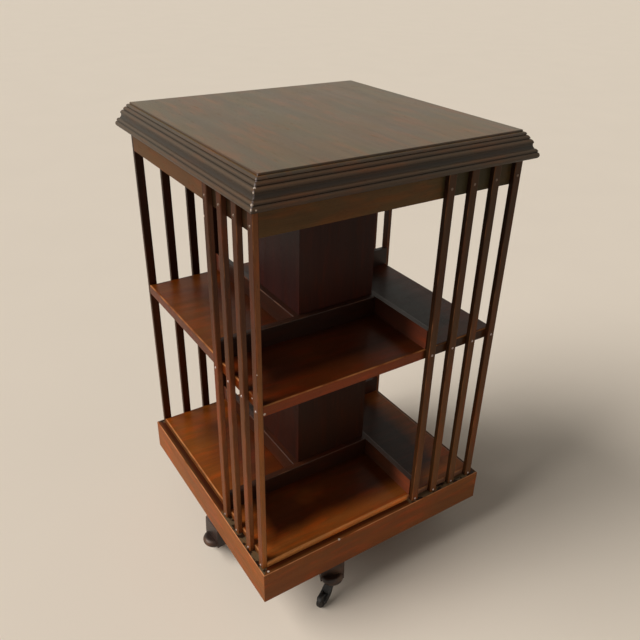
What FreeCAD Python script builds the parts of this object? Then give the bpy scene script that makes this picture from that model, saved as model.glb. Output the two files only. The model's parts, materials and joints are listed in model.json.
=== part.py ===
"""Revolving two-tier bookcase: a slatted case that turns on a post held by a stand on four castors.

Frame: origin on the floor under the post's axis, +Z up, millimetres. The case's front is its -Y side.
The case has four equal sides. Each sub-part of a side is made once, for the front, and turned about the post.
"""

import FreeCAD
import Part
import math
import os

V = FreeCAD.Vector
UP = V(0, 0, 1)
ORIGIN = V(0, 0, 0)

# ---- driving dimensions, mm ------------------------------------------------------------------

# case, measured outwards from the post's axis
CASE_HALF = 226.0            # faces of the shelves and the frieze
PLINTH_HALF = 239.5          # faces of the plinth, whose top is a ledge under the slats
BOX_HALF = 75.0              # faces of the hollow box round the post

# levels
PLINTH_BOTTOM = 99.5         # floor to plinth
PLINTH_HEIGHT = 63.5
BOTTOM_SHELF_TOP = 174.0
LOWER_BAY_HEIGHT = 301.5
FRIEZE_BOTTOM = 751.0
TOP = 833.0                  # overall height

# boards
SHELF_THICKNESS = 18.0
SHELF_EDGE_RADIUS = 3.0
PLINTH_THICKNESS = 20.0
PLINTH_EDGE_RADIUS = 2.0
FRIEZE_THICKNESS = 14.0
BOX_THICKNESS = 10.0
TOP_BOARD_THICKNESS = 20.0

# book rails, the low strips that stop the books at the back and at one end of a bay
RAIL_HEIGHT = 35.0
RAIL_THICKNESS = 11.0
RAIL_EDGE_RADIUS = 2.0

# slats
SLATS_PER_SIDE = 4
SLAT_WIDTH = 14.5
SLAT_THICKNESS = 8.5
SLAT_PITCH = 44.8
SLAT_EDGE_RADIUS = 1.5

# brads through the slats
BRAD_SIDE = 1.8
BRAD_LENGTH = 18.5
BRAD_HEAD_RADIUS = 2.2
BRAD_HEAD_TOP_RADIUS = 1.3
BRAD_HEAD_HEIGHT = 0.9
BRAD_FRIEZE_LEVEL = 766.0
BRAD_SHELF_LEVEL = 483.0
BRAD_FOOT_LEVEL = 167.0

# moulded edge: points as (distance out from the axis, depth below the top surface)
TOP_ARRIS_OUT = 225.0
TOP_ARRIS_RADIUS = 1.0
REBATE_DEPTH = 7.4           # the top board's lip over the cornice
LIP_OUT = 228.6              # the lip's outer end, in the quirk under the bead

# members of the moulding, each an arc as (start, middle, end), with straight quirks between them
BEAD = ((225.8, 3.2), (228.9, 4.2), (229.8, 6.6))
UPPER_REED = ((229.4, 7.4), (232.6, 9.2), (234.0, 12.4))
LOWER_REED = ((232.9, 12.9), (236.7, 14.8), (238.4, 18.6))
COVE = ((237.7, 19.3), (237.8, 23.0), (239.6, 26.3))
LIP_REED = ((239.9, 27.0), (243.0, 28.4), (244.2, 31.4))
LIP_NOSE = ((243.2, 32.0), (246.4, 35.8), (244.4, 41.2))
SOFFIT_FRONT = (237.0, 43.2)
SOFFIT_DEPTH = 44.0

# running parts on the post's axis
POST_RADIUS = 22.0
POST_TOP_RADIUS = 18.0
POST_TOP = 776.0
JOURNAL_TOP = 182.0
POST_COLLAR_RADIUS = 44.0
POST_COLLAR_HEIGHT = 16.0
POST_COLLAR_EDGE = 10.0      # upright part of the collar's side
POST_NECK_RADIUS = 28.0      # where the collar's slope ends
POST_NECK_HEIGHT = 8.0       # of the second slope, from the collar to the journal
POST_TENON_RADIUS = 15.0
RUNNING_CLEARANCE = 0.05
BUSH_OUTER_RADIUS = 27.0
BUSH_FLANGE_RADIUS = 34.0
BUSH_FLANGE_THICKNESS = 2.5
POST_HOLE_RADIUS = 29.0      # clearance hole in the middle shelf
GUIDE_BOARD_HALF = 85.0
GUIDE_BOARD_THICKNESS = 15.0
PIVOT_BLOCK_THICKNESS = 24.0
PIVOT_RADIUS = 7.0
PIVOT_DEPTH_IN_POST = 40.0
PIVOT_COLLAR_RADIUS = 14.0
PIVOT_COLLAR_HEIGHT = 3.0
PIVOT_TIP_RADIUS = 2.0
CUP_OUTER_RADIUS = 15.0
CUP_FLANGE_RADIUS = 24.0
CUP_FLANGE_THICKNESS = 2.5
CUP_DEPTH = 16.0
CUP_HEIGHT = 20.0
THRUST_GAP = 0.3

# stand: two bearers lapped across each other, each with a round pad under both its ends
BEARER_ANGLES = (5.2, 68.1)  # directions of the lower and the upper bearer, degrees from +X
BEARER_WIDTH = 44.0
BEARER_TOP = 92.0
BEARER_END_RADIUS = 5.0
BEARER_END_SLOPE = 1.0       # by which a bearer's end leans in at its top
BEARER_OVERHANG = 5.0        # end of a bearer beyond its castor's centre
FOOT_BOTTOM = 42.0
FOOT_RADIUS = 234.8          # castor centres from the post's axis
HEEL = 30.0                  # inner end of a foot before its castor's centre
WAIST_DEPTH = 28.0           # depth of a bearer between its feet
WEDGE_WIDTH = 26.0
WEDGE_THICKNESS = 4.0
WEDGE_TIP_THICKNESS = 1.0
WEDGE_HEIGHT = 20.0

# curve from a heel up to the waist: distance in from the heel, and height above the foot's bottom
HEEL_COVE_MIDDLE = (5.0, 10.0)
HEEL_COVE_END = (16.0, 13.0)
HEEL_OVOLO_MIDDLE = (31.0, 20.0)
HEEL_CURVE_LENGTH = 48.0

# round pad under a foot: radius, and height above the foot's bottom
PAD_BASE_RADIUS = 18.4
PAD_LOWER_MIDDLE = (20.8, 3.0)
PAD_SIDE = (21.4, 7.0)
PAD_UPPER_MIDDLE = (18.9, 11.5)
PAD_CROWN = (13.4, 14.0)

# castors
CASTOR_NAMES = ("left", "front", "right", "back")
CASTOR_TRAIL_ANGLES = (78.0, 204.0, 120.0, 20.0)  # directions in which the wheels trail
WHEEL_RADIUS = 14.0
WHEEL_WIDTH = 9.0
WHEEL_HUB_RADIUS = 5.5
WHEEL_HUB_WIDTH = 10.6
WHEEL_EDGE_RADIUS = 2.0
AXLE_RADIUS = 2.0
RIVET_HEAD_RADIUS = 3.4
RIVET_HEAD_HEIGHT = 1.6
TRAIL = 32.0
STEM_RADIUS = 4.0
STEM_LENGTH = 15.5
HORN_TOP = 38.6
HORN_BOSS_HEIGHT = 4.6
HORN_BOSS_RADIUS = 11.5
HORN_WIDTH = 17.0
HORN_NECK_WIDTH = 12.0
CHEEK_GAP = 11.4
WHEEL_CLEARANCE = 1.6        # between the tread and the fork's crown
SOCKET_PLATE_RADIUS = 15.0
SOCKET_PLATE_THICKNESS = 3.0
SOCKET_TUBE_RADIUS = 7.0
SOCKET_TUBE_HEIGHT = 13.0
SCREW_RADIUS = 1.6
SCREW_HEAD_RADIUS = 3.2
SCREW_HEAD_HEIGHT = 1.8
SCREW_LENGTH = 15.0
SCREW_CIRCLE_RADIUS = 11.0
SCREWS_PER_SOCKET = 3

# side of the horn: distance from the stem's axis towards the axle, and height above the floor
HORN_HEEL = (-9.5, 34.0)
HORN_HEEL_MIDDLE = (-2.0, 29.0)
HORN_THROAT = (6.0, 25.0)
HORN_THROAT_MIDDLE = (16.0, 15.5)
HORN_TOE = (29.6, 9.6)
HORN_TOE_MIDDLE = (36.9, 13.4)
HORN_CHEEK_TOP = (34.4, 18.6)
HORN_BACK_MIDDLE = (21.5, 24.5)
HORN_SHOULDER = (10.5, 35.0)

# glue blocks
GLUE_BLOCK_SIDE = 26.0
GLUE_BLOCK_LENGTH = 70.0
PLINTH_BLOCK_HEIGHT = 40.0

# ---- derived levels ----------------------------------------------------------------------------

LEDGE = PLINTH_BOTTOM + PLINTH_HEIGHT
BOTTOM_SHELF_BOTTOM = BOTTOM_SHELF_TOP - SHELF_THICKNESS
MID_SHELF_BOTTOM = BOTTOM_SHELF_TOP + LOWER_BAY_HEIGHT
MID_SHELF_TOP = MID_SHELF_BOTTOM + SHELF_THICKNESS
TOP_BOARD_BOTTOM = TOP - TOP_BOARD_THICKNESS
SOFFIT = TOP - SOFFIT_DEPTH
SLAT_FACE = CASE_HALF + SLAT_THICKNESS
BRAD_LEVELS = (BRAD_FRIEZE_LEVEL, BRAD_SHELF_LEVEL, BRAD_FOOT_LEVEL)
RAIL_OUT = BOX_HALF + RAIL_THICKNESS
LAP_LEVEL = BEARER_TOP - WAIST_DEPTH / 2
WAIST_BOTTOM = BEARER_TOP - WAIST_DEPTH
SOCKET_PLATE_BOTTOM = FOOT_BOTTOM - SOCKET_PLATE_THICKNESS
FOOT_TOP = FOOT_BOTTOM + PAD_CROWN[1]
CASTOR_ANGLES = (BEARER_ANGLES[0] + 180, BEARER_ANGLES[1] + 180, BEARER_ANGLES[0], BEARER_ANGLES[1])

SIDES = ("front", "right", "back", "left")
REACH = 400.0                # longer than anything in the case
ARC_SAG = 1 - math.sqrt(0.5) # of a quarter round, as a share of its radius


# ---- helpers -----------------------------------------------------------------------------------

def box(low, high):
    """A box between two corners."""
    size = [b - a for a, b in zip(low, high)]
    return Part.makeBox(*size, V(*low))


def cylinder(radius, bottom, top, x=0.0, y=0.0):
    """An upright cylinder."""
    return Part.makeCylinder(radius, top - bottom, V(x, y, bottom), UP)


def turned(shape, degrees):
    """A copy of a shape turned about the post's axis."""
    copy = shape.copy()
    copy.rotate(ORIGIN, UP, degrees)
    return copy


def on_side(shape, side):
    """A copy of a front sub-part on one of the four sides."""
    return turned(shape, 90 * SIDES.index(side))


def outline(start, *steps):
    """A closed face through points: a step of one point is a line, a step of two is an arc to the second."""
    edges = []
    here = start
    for step in steps:
        if len(step) == 2:
            edges.append(Part.Arc(here, step[0], step[1]).toShape())
        else:
            edges.append(Part.LineSegment(here, step[0]).toShape())
        here = step[-1]
    edges.append(Part.LineSegment(here, start).toShape())
    return Part.Face(Part.Wire(edges))


def rounded(shape, radius, chosen):
    """A shape with a radius on each edge that chosen(edge) picks."""
    return shape.makeFillet(radius, [e for e in shape.Edges if chosen(e)])


def along_x(edge, y, z):
    """True for a straight edge along X at the given y and z."""
    ends = [v.Point for v in edge.Vertexes]
    return len(ends) == 2 and all(abs(p.y - y) < 1e-6 and abs(p.z - z) < 1e-6 for p in ends)


def on_outline(edge, half):
    """True for a level edge on the outline of a square of the given half size."""
    ends = [v.Point for v in edge.Vertexes]
    if len(ends) != 2 or abs(ends[0].z - ends[1].z) > 1e-6:
        return False
    return all(abs(max(abs(p.x), abs(p.y)) - half) < 1e-6 for p in ends)


def turned_profile(radii_and_levels):
    """A solid of revolution about the post's axis from (radius, level) corners, closed along the axis."""
    first, last = radii_and_levels[0], radii_and_levels[-1]
    corners = [(0.0, first[1])] + list(radii_and_levels) + [(0.0, last[1])]
    points = [V(r, 0, z) for r, z in corners]
    face = Part.Face(Part.makePolygon(points + [points[0]]))
    return face.revolve(ORIGIN, UP, 360)


def compound(solids):
    """Separate solids as one shape."""
    return Part.makeCompound(list(solids))


# ---- top: a board with a moulded edge over a mitred cornice ---------------------------------------

def section_point(out_and_depth):
    """A point of the front side's section, from its distance out and its depth below the top."""
    out, depth = out_and_depth
    return V(0, -out, TOP - depth)


def front_quarter(face):
    """A section run along the front side and mitred at both corners."""
    length = 2 * REACH
    run = face.extrude(V(length, 0, 0))
    run.translate(V(-length / 2, 0, 0))
    corners = [V(0, 0, 0), V(-REACH, -REACH, 0), V(REACH, -REACH, 0)]
    wedge = Part.Face(Part.makePolygon(corners + [corners[0]])).extrude(V(0, 0, TOP + 1))
    return run.common(wedge).Solids[0]


def moulded(*members):
    """Outline steps through arcs of (start, middle, end), each reached by a straight line."""
    steps = []
    for start, middle, end in members:
        steps.append((section_point(start),))
        steps.append((section_point(middle), section_point(end)))
    return steps


def top_board():
    """The top, with an arris and a bead worked on its edge and a rebate for the cornice below."""
    corner = TOP_ARRIS_OUT
    arris = TOP_ARRIS_RADIUS * ARC_SAG
    bead_top = BEAD[0][1]
    face = outline(
        section_point((0, 0)),
        (section_point((corner - TOP_ARRIS_RADIUS, 0)),),
        (section_point((corner - arris, arris)), section_point((corner, TOP_ARRIS_RADIUS))),
        (section_point((corner, bead_top)),),
        *moulded(BEAD),
        (section_point((LIP_OUT, REBATE_DEPTH)),),
        (section_point((CASE_HALF, REBATE_DEPTH)),),
        (section_point((CASE_HALF, TOP_BOARD_THICKNESS)),),
        (section_point((0, TOP_BOARD_THICKNESS)),),
    )
    quarter = front_quarter(face)
    board = quarter.multiFuse([on_side(quarter, side) for side in SIDES[1:]])
    return board.removeSplitter()


def cornice(side):
    """One mitred length of the cornice, glued to the frieze: two reeds, a cove and a reeded lip."""
    face = outline(
        section_point((CASE_HALF, REBATE_DEPTH)),
        *moulded(UPPER_REED, LOWER_REED, COVE, LIP_REED, LIP_NOSE),
        (section_point(SOFFIT_FRONT),),
        (section_point((SOFFIT_FRONT[0], SOFFIT_DEPTH)),),
        (section_point((CASE_HALF, SOFFIT_DEPTH)),),
    )
    return on_side(front_quarter(face), side)


def frieze(side):
    """A frieze board under the top. Each one butts against the face of the next."""
    board = box(
        (-CASE_HALF, -CASE_HALF, FRIEZE_BOTTOM),
        (CASE_HALF - FRIEZE_THICKNESS, -CASE_HALF + FRIEZE_THICKNESS, TOP_BOARD_BOTTOM),
    )
    return on_side(board.cut(brads((BRAD_FRIEZE_LEVEL,))), side)


# ---- shelves and plinth ---------------------------------------------------------------------------

def shelf(bottom, hole_radius, brad_level):
    """A square shelf with rounded edges, a round hole for the post and the slats' brad holes."""
    top = bottom + SHELF_THICKNESS
    board = box((-CASE_HALF, -CASE_HALF, bottom), (CASE_HALF, CASE_HALF, top))
    board = rounded(board, SHELF_EDGE_RADIUS, lambda e: on_outline(e, CASE_HALF) and e.Vertexes[0].Z == top)
    return board.cut([brads((brad_level,)), cylinder(hole_radius, bottom, top)])


def plinth(side):
    """A mitred plinth board, rebated along its top for the bottom shelf."""
    rim = -PLINTH_HALF
    arris = PLINTH_EDGE_RADIUS * ARC_SAG
    face = outline(
        V(0, rim, PLINTH_BOTTOM),
        (V(0, rim, LEDGE - PLINTH_EDGE_RADIUS),),
        (V(0, rim + arris, LEDGE - arris), V(0, rim + PLINTH_EDGE_RADIUS, LEDGE)),
        (V(0, -CASE_HALF, LEDGE),),
        (V(0, -CASE_HALF, BOTTOM_SHELF_BOTTOM),),
        (V(0, rim + PLINTH_THICKNESS, BOTTOM_SHELF_BOTTOM),),
        (V(0, rim + PLINTH_THICKNESS, PLINTH_BOTTOM),),
    )
    return on_side(front_quarter(face), side)


# ---- central box and book rails -------------------------------------------------------------------

def box_panel(side, bottom, top):
    """One panel of the hollow box round the post. Each butts against the face of the next."""
    panel = box(
        (-BOX_HALF, -BOX_HALF, bottom),
        (BOX_HALF - BOX_THICKNESS, -BOX_HALF + BOX_THICKNESS, top),
    )
    return on_side(panel, side)


def book_rail(side, bottom):
    """A strip along the foot of the box that runs on to the left face and parts two bays."""
    strip = box(
        (-CASE_HALF, -RAIL_OUT, bottom),
        (BOX_HALF, -BOX_HALF, bottom + RAIL_HEIGHT),
    )
    strip = rounded(strip, RAIL_EDGE_RADIUS, lambda e: along_x(e, -RAIL_OUT, bottom + RAIL_HEIGHT))
    return on_side(strip, side)


# ---- slats and brads ------------------------------------------------------------------------------

def slat_centres():
    """Places of the front slats along X: the last is flush with the case's right face."""
    last = CASE_HALF - SLAT_WIDTH / 2
    return [last - SLAT_PITCH * i for i in range(SLATS_PER_SIDE)]


def brad(x, level):
    """A cut brad through a front slat, with a square shank and a small round head."""
    half = BRAD_SIDE / 2
    shank = box(
        (x - half, -SLAT_FACE, level - half),
        (x + half, -SLAT_FACE + BRAD_LENGTH, level + half),
    )
    head = Part.makeCone(
        BRAD_HEAD_RADIUS, BRAD_HEAD_TOP_RADIUS, BRAD_HEAD_HEIGHT, V(x, -SLAT_FACE, level), V(0, -1, 0)
    )
    return shank.fuse(head).removeSplitter()


def slat(x):
    """One front slat from the ledge to the cornice, over the shelves' edges and the frieze."""
    half = SLAT_WIDTH / 2
    bar = box((x - half, -SLAT_FACE, LEDGE), (x + half, -CASE_HALF, SOFFIT))
    bar = rounded(
        bar,
        SLAT_EDGE_RADIUS,
        lambda e: abs(e.Vertexes[0].Y + SLAT_FACE) < 1e-6 and abs(e.Length - (SOFFIT - LEDGE)) < 1e-6,
    )
    return bar.cut(compound(brad(x, level) for level in BRAD_LEVELS))


def slats(side):
    """The slats of one side."""
    return compound(on_side(slat(x), side) for x in slat_centres())


def brads(levels):
    """The brads of the four sides at the given levels."""
    front = [brad(x, level) for x in slat_centres() for level in levels]
    return compound(on_side(one, side) for side in SIDES for one in front)


# ---- glue blocks ----------------------------------------------------------------------------------

def glue_blocks():
    """Square blocks in the plinth's corners and behind the frieze under the top."""
    inner = PLINTH_HALF - PLINTH_THICKNESS
    top = BOTTOM_SHELF_BOTTOM
    corner = box(
        (-inner, -inner, top - PLINTH_BLOCK_HEIGHT),
        (-inner + GLUE_BLOCK_SIDE, -inner + GLUE_BLOCK_SIDE, top),
    )
    back = -CASE_HALF + FRIEZE_THICKNESS
    length = GLUE_BLOCK_LENGTH / 2
    behind = box(
        (-length, back, TOP_BOARD_BOTTOM - GLUE_BLOCK_SIDE),
        (length, back + GLUE_BLOCK_SIDE, TOP_BOARD_BOTTOM),
    )
    return compound(on_side(block, side) for side in SIDES for block in (corner, behind))


# ---- pivot and guide ------------------------------------------------------------------------------

def centre_post():
    """The fixed post: a tenon through the stand, a turned collar, a journal and a slow taper."""
    collar_top = BEARER_TOP + POST_COLLAR_HEIGHT
    body = turned_profile((
        (POST_TENON_RADIUS, WAIST_BOTTOM),
        (POST_TENON_RADIUS, BEARER_TOP),
        (POST_COLLAR_RADIUS, BEARER_TOP),
        (POST_COLLAR_RADIUS, BEARER_TOP + POST_COLLAR_EDGE),
        (POST_NECK_RADIUS, collar_top),
        (POST_RADIUS, collar_top + POST_NECK_HEIGHT),
        (POST_RADIUS, JOURNAL_TOP),
        (POST_TOP_RADIUS, POST_TOP),
    ))
    socket = cylinder(PIVOT_RADIUS, POST_TOP - PIVOT_DEPTH_IN_POST, POST_TOP)
    return body.cut(socket).cut(post_wedge())


def post_wedge():
    """The wedge driven up into the tenon's saw cut, square to the upper bearer."""
    low = V(0, 0, WAIST_BOTTOM)
    half, tip = WEDGE_THICKNESS / 2, WEDGE_TIP_THICKNESS / 2
    corners = [V(-half, 0, 0), V(half, 0, 0), V(tip, 0, WEDGE_HEIGHT), V(-tip, 0, WEDGE_HEIGHT)]
    face = Part.Face(Part.makePolygon(corners + [corners[0]]))
    wedge = face.extrude(V(0, WEDGE_WIDTH, 0))
    wedge.translate(low - V(0, WEDGE_WIDTH / 2, 0))
    return turned(wedge, BEARER_ANGLES[1])


def pivot_pin():
    """The iron pivot in the top of the post, with a collar on the post and a chamfered tip."""
    block_bottom = TOP_BOARD_BOTTOM - PIVOT_BLOCK_THICKNESS
    tip = block_bottom - CUP_FLANGE_THICKNESS + CUP_DEPTH - THRUST_GAP
    return turned_profile((
        (PIVOT_RADIUS, POST_TOP - PIVOT_DEPTH_IN_POST),
        (PIVOT_RADIUS, POST_TOP),
        (PIVOT_COLLAR_RADIUS, POST_TOP),
        (PIVOT_COLLAR_RADIUS, POST_TOP + PIVOT_COLLAR_HEIGHT),
        (PIVOT_RADIUS, POST_TOP + PIVOT_COLLAR_HEIGHT),
        (PIVOT_RADIUS, tip - PIVOT_TIP_RADIUS),
        (PIVOT_RADIUS - PIVOT_TIP_RADIUS, tip),
    ))


def pivot_cup():
    """The iron cup in the pivot block, in which the pivot turns."""
    mouth = TOP_BOARD_BOTTOM - PIVOT_BLOCK_THICKNESS - CUP_FLANGE_THICKNESS
    cup = turned_profile((
        (CUP_FLANGE_RADIUS, mouth),
        (CUP_FLANGE_RADIUS, mouth + CUP_FLANGE_THICKNESS),
        (CUP_OUTER_RADIUS, mouth + CUP_FLANGE_THICKNESS),
        (CUP_OUTER_RADIUS, mouth + CUP_HEIGHT),
    ))
    return cup.cut(cylinder(PIVOT_RADIUS + RUNNING_CLEARANCE, mouth, mouth + CUP_DEPTH))


def pivot_block():
    """The block across the top of the box, under the top board, that carries the case on the cup."""
    inner = BOX_HALF - BOX_THICKNESS
    bottom = TOP_BOARD_BOTTOM - PIVOT_BLOCK_THICKNESS
    block = box((-inner, -inner, bottom), (inner, inner, TOP_BOARD_BOTTOM))
    return block.cut(cylinder(CUP_OUTER_RADIUS, bottom, bottom - CUP_FLANGE_THICKNESS + CUP_HEIGHT))


def guide_board():
    """The board under the bottom shelf that holds the lower bush."""
    bottom = BOTTOM_SHELF_BOTTOM - GUIDE_BOARD_THICKNESS
    half = GUIDE_BOARD_HALF
    board = box((-half, -half, bottom), (half, half, BOTTOM_SHELF_BOTTOM))
    return board.cut(cylinder(BUSH_OUTER_RADIUS, bottom, BOTTOM_SHELF_BOTTOM))


def guide_bush():
    """The flanged bush that steadies the case on the post's journal."""
    bottom = BOTTOM_SHELF_BOTTOM - GUIDE_BOARD_THICKNESS
    flange_bottom = bottom - BUSH_FLANGE_THICKNESS
    bush = turned_profile((
        (BUSH_FLANGE_RADIUS, flange_bottom),
        (BUSH_FLANGE_RADIUS, bottom),
        (BUSH_OUTER_RADIUS, bottom),
        (BUSH_OUTER_RADIUS, BOTTOM_SHELF_TOP),
    ))
    bore = cylinder(POST_RADIUS + RUNNING_CLEARANCE, flange_bottom, BOTTOM_SHELF_TOP)
    return bush.cut(bore)


# ---- stand ----------------------------------------------------------------------------------------

def foot_point(out, height):
    """A point of a section above a foot's bottom."""
    return V(out, 0, FOOT_BOTTOM + height)


def foot_pad():
    """The round pad under a bearer's end, made about the origin."""
    face = outline(
        foot_point(0, 0),
        (foot_point(PAD_BASE_RADIUS, 0),),
        (foot_point(*PAD_LOWER_MIDDLE), foot_point(*PAD_SIDE)),
        (foot_point(*PAD_UPPER_MIDDLE), foot_point(*PAD_CROWN)),
        (V(0, 0, FOOT_TOP),),
    )
    return face.revolve(ORIGIN, UP, 360)


def bearer_blank():
    """A bearer along X: level top, arched underside and an upright end over the pad of each foot."""
    end = FOOT_RADIUS + BEARER_OVERHANG
    top_end = end - BEARER_END_SLOPE
    heel = FOOT_RADIUS - HEEL
    arris = BEARER_END_RADIUS * ARC_SAG
    cove_middle, cove_end, ovolo_middle = (
        foot_point(heel - inward, height)
        for inward, height in (HEEL_COVE_MIDDLE, HEEL_COVE_END, HEEL_OVOLO_MIDDLE)
    )
    face = outline(
        V(0, 0, BEARER_TOP),
        (V(top_end - BEARER_END_RADIUS, 0, BEARER_TOP),),
        (V(top_end - arris, 0, BEARER_TOP - arris), V(top_end, 0, BEARER_TOP - BEARER_END_RADIUS)),
        (V(end, 0, FOOT_TOP),),
        (V(end, 0, FOOT_BOTTOM),),
        (V(heel, 0, FOOT_BOTTOM),),
        (cove_middle, cove_end),
        (ovolo_middle, V(heel - HEEL_CURVE_LENGTH, 0, WAIST_BOTTOM)),
        (V(0, 0, WAIST_BOTTOM),),
    )
    half = face.extrude(V(0, BEARER_WIDTH, 0))
    half.translate(V(0, -BEARER_WIDTH / 2, 0))
    pad = foot_pad()
    pad.translate(V(FOOT_RADIUS, 0, 0))
    half = half.fuse(pad)
    return half.fuse(turned(half, 180)).removeSplitter()


def bearer(level_name):
    """The lower or the upper bearer, halved over the other, with bores for post and castors."""
    lower = level_name == "lower"
    own, other = BEARER_ANGLES if lower else reversed(BEARER_ANGLES)
    low, high = (LAP_LEVEL, BEARER_TOP) if lower else (WAIST_BOTTOM, LAP_LEVEL)
    half = BEARER_WIDTH / 2
    lap = turned(box((-REACH, -half, low), (REACH, half, high)), other)
    body = turned(bearer_blank(), own).cut(lap)
    body = body.cut(cylinder(POST_TENON_RADIUS, WAIST_BOTTOM, BEARER_TOP))
    for angle in CASTOR_ANGLES:
        x, y = castor_centre(angle)
        body = body.cut(cylinder(SOCKET_TUBE_RADIUS, FOOT_BOTTOM, FOOT_BOTTOM + SOCKET_TUBE_HEIGHT, x, y))
    return body.cut(compound(socket_screws(angle) for angle in CASTOR_ANGLES))


# ---- castors --------------------------------------------------------------------------------------

def castor_centre(angle):
    """Where a castor's stem is in plan."""
    radians = math.radians(angle)
    return FOOT_RADIUS * math.cos(radians), FOOT_RADIUS * math.sin(radians)


def at_castor(shape, angle, turn=0.0):
    """A copy of a part made at the origin, turned about its own stem and set under a foot."""
    x, y = castor_centre(angle)
    copy = turned(shape, turn)
    copy.translate(V(x, y, 0))
    return copy


def socket_screws(angle):
    """The countersunk screws of one castor socket."""
    screws = []
    for i in range(SCREWS_PER_SOCKET):
        around = math.radians(360.0 * i / SCREWS_PER_SOCKET)
        x, y = SCREW_CIRCLE_RADIUS * math.cos(around), SCREW_CIRCLE_RADIUS * math.sin(around)
        low = SOCKET_PLATE_BOTTOM
        head = Part.makeCone(SCREW_HEAD_RADIUS, SCREW_RADIUS, SCREW_HEAD_HEIGHT, V(x, y, low), UP)
        shank = cylinder(SCREW_RADIUS, low + SCREW_HEAD_HEIGHT, low + SCREW_LENGTH, x, y)
        screws.append(head.fuse(shank).removeSplitter())
    return at_castor(compound(screws), angle, angle)


def castor_socket(angle):
    """The plate under a foot with the tube that holds the castor's stem."""
    plate = cylinder(SOCKET_PLATE_RADIUS, SOCKET_PLATE_BOTTOM, FOOT_BOTTOM)
    tube = cylinder(SOCKET_TUBE_RADIUS, FOOT_BOTTOM, FOOT_BOTTOM + SOCKET_TUBE_HEIGHT)
    body = plate.fuse(tube).removeSplitter()
    bore = cylinder(STEM_RADIUS + RUNNING_CLEARANCE, SOCKET_PLATE_BOTTOM, FOOT_BOTTOM + SOCKET_TUBE_HEIGHT)
    return at_castor(body.cut(bore), angle, angle).cut(socket_screws(angle))


def horn_blank():
    """The horn's outer form: its side profile, cut in plan to a narrow neck and wide cheeks."""
    def at(out_and_height):
        return V(out_and_height[0], 0, out_and_height[1])

    side = outline(
        at(HORN_HEEL),
        (at(HORN_HEEL_MIDDLE), at(HORN_THROAT)),
        (at(HORN_THROAT_MIDDLE), at(HORN_TOE)),
        (at(HORN_TOE_MIDDLE), at(HORN_CHEEK_TOP)),
        (at(HORN_BACK_MIDDLE), at(HORN_SHOULDER)),
    )
    arms = side.extrude(V(0, HORN_WIDTH, 0))
    arms.translate(V(0, -HORN_WIDTH / 2, 0))
    neck, wide = HORN_NECK_WIDTH / 2, HORN_WIDTH / 2
    plan_corners = [
        V(-HORN_BOSS_RADIUS, -neck, 0), V(0, -neck, 0), V(TRAIL / 2, -wide, 0), V(TRAIL * 2, -wide, 0),
        V(TRAIL * 2, wide, 0), V(TRAIL / 2, wide, 0), V(0, neck, 0), V(-HORN_BOSS_RADIUS, neck, 0),
    ]
    plan = Part.Face(Part.makePolygon(plan_corners + [plan_corners[0]])).extrude(V(0, 0, HORN_TOP))
    return arms.common(plan)


def castor_horn():
    """A swept iron horn: a boss with a stem above it and two cheeks that trail to the axle along +X."""
    room_start = V(TRAIL, -CHEEK_GAP / 2, WHEEL_RADIUS)
    room = Part.makeCylinder(WHEEL_RADIUS + WHEEL_CLEARANCE, CHEEK_GAP, room_start, V(0, 1, 0))
    below = box((TRAIL - WHEEL_RADIUS, -CHEEK_GAP / 2, 0), (TRAIL * 2, CHEEK_GAP / 2, WHEEL_RADIUS))
    axle_start = V(TRAIL, -HORN_WIDTH / 2, WHEEL_RADIUS)
    axle_hole = Part.makeCylinder(AXLE_RADIUS, HORN_WIDTH, axle_start, V(0, 1, 0))
    arms = horn_blank().cut([room, below, axle_hole])
    boss = cylinder(HORN_BOSS_RADIUS, HORN_TOP - HORN_BOSS_HEIGHT, HORN_TOP)
    stem = cylinder(STEM_RADIUS, HORN_TOP, HORN_TOP + STEM_LENGTH)
    return arms.fuse([boss, stem]).removeSplitter()


def castor_wheel():
    """A narrow wheel with a rounded tread and a raised hub, bored to run on its axle."""
    half, hub = WHEEL_WIDTH / 2, WHEEL_HUB_WIDTH / 2
    bore = AXLE_RADIUS + RUNNING_CLEARANCE
    corner = WHEEL_EDGE_RADIUS * ARC_SAG

    def rim_point(radius, across):
        return V(0, across, radius)

    face = outline(
        rim_point(bore, -hub),
        (rim_point(WHEEL_HUB_RADIUS, -hub),),
        (rim_point(WHEEL_HUB_RADIUS + 1, -half),),
        (rim_point(WHEEL_RADIUS - WHEEL_EDGE_RADIUS, -half),),
        (rim_point(WHEEL_RADIUS - corner, corner - half), rim_point(WHEEL_RADIUS, WHEEL_EDGE_RADIUS - half)),
        (rim_point(WHEEL_RADIUS, half - WHEEL_EDGE_RADIUS),),
        (rim_point(WHEEL_RADIUS - corner, half - corner), rim_point(WHEEL_RADIUS - WHEEL_EDGE_RADIUS, half)),
        (rim_point(WHEEL_HUB_RADIUS + 1, half),),
        (rim_point(WHEEL_HUB_RADIUS, hub),),
        (rim_point(bore, hub),),
    )
    wheel = face.revolve(ORIGIN, V(0, 1, 0), 360)
    wheel.translate(V(TRAIL, 0, WHEEL_RADIUS))
    return wheel


def castor_axle():
    """The rivet through both cheeks."""
    half = HORN_WIDTH / 2
    across = V(0, 1, 0)
    shaft = Part.makeCylinder(AXLE_RADIUS, HORN_WIDTH, V(TRAIL, -half, WHEEL_RADIUS), across)
    near = Part.makeCone(
        RIVET_HEAD_RADIUS, RIVET_HEAD_RADIUS / 2, RIVET_HEAD_HEIGHT, V(TRAIL, -half, WHEEL_RADIUS), -across
    )
    far = Part.makeCone(
        RIVET_HEAD_RADIUS, RIVET_HEAD_RADIUS / 2, RIVET_HEAD_HEIGHT, V(TRAIL, half, WHEEL_RADIUS), across
    )
    return shaft.fuse([near, far]).removeSplitter()


# ---- the whole --------------------------------------------------------------------------------------

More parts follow.
